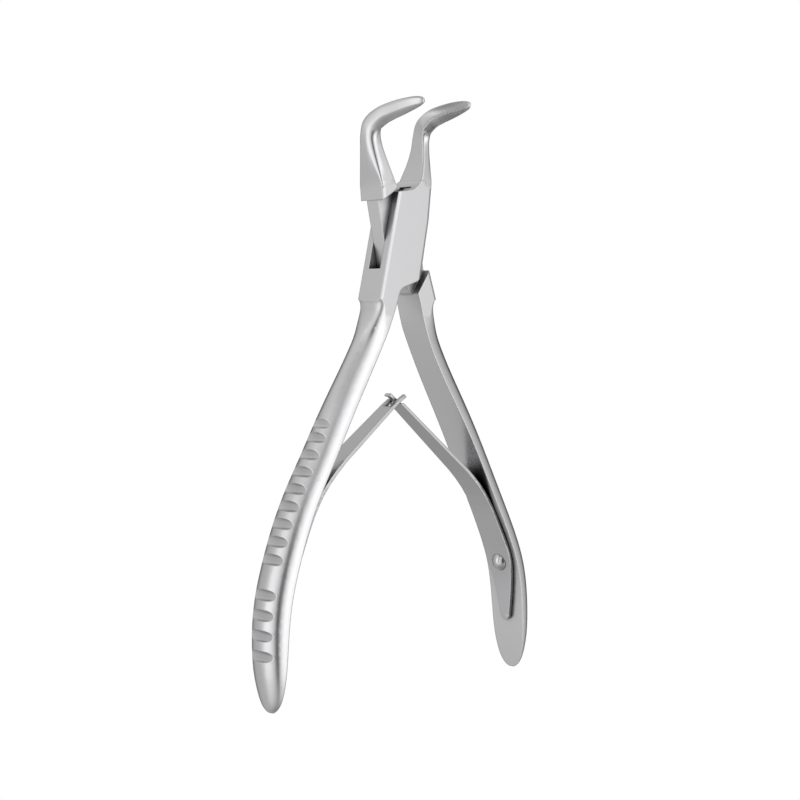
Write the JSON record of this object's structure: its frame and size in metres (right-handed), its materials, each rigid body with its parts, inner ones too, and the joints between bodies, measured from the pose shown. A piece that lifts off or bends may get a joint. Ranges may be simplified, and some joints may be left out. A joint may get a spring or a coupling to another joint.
{
  "type": "bone rongeur",
  "caption": "Hand instrument that nibbles bone between two cupped, forward-bent beaks, with a box joint, bowed grooved handles and interlocked leaf springs that open it.",
  "frame": {"origin": "on the pivot axis, at the outer face of the back cheek of the lock", "axes": "+Y along the instrument toward the jaws, +Z along the pivot axis toward the side the beaks are bent to, +X toward the jaw of the slotted half; jaws open as in the picture"},
  "size_m": [0.089, 0.1479, 0.0242],
  "materials": {
    "forged_steel": "satin finished stainless steel",
    "pin_steel": "stainless steel, ground flush with the lock",
    "spring_steel": "satin spring steel",
    "rivet_steel": "polished steel dome"
  },
  "bodies": {
    "box_side": {"box_half": "forged_steel", "pivot_pin": "pin_steel", "left_spring_rivet": "rivet_steel"},
    "tongue_side": {"tongue_half": "forged_steel", "right_spring_rivet": "rivet_steel"},
    "left_leaf": {"left_spring": "spring_steel"},
    "right_leaf": {"right_spring": "spring_steel"}
  },
  "joints": [
    {"name": "jaw_hinge", "type": "hinge", "parent": "box_side", "child": "tongue_side", "pos_m": [0, 0, 0.0044], "axis": [0, 0, -1], "range_deg": [-2, 24], "stiffness_Nm_per_rad": 1},
    {"name": "left_leaf_bend", "type": "hinge", "parent": "box_side", "child": "left_leaf", "pos_m": [-0.0369, -0.0826, 0.0044], "axis": [0, 0, 1], "range_deg": [-2, 12], "deforming": ["left_spring"]},
    {"name": "right_leaf_bend", "type": "hinge", "parent": "tongue_side", "child": "right_leaf", "pos_m": [0.0369, -0.0826, 0.0044], "axis": [0, 0, -1], "range_deg": [-2, 12], "deforming": ["right_spring"]}
  ],
  "couplings": [
    {"joint": "left_leaf_bend", "follows": "jaw_hinge", "ratio": 0.38},
    {"joint": "right_leaf_bend", "follows": "jaw_hinge", "ratio": 0.38}
  ]
}
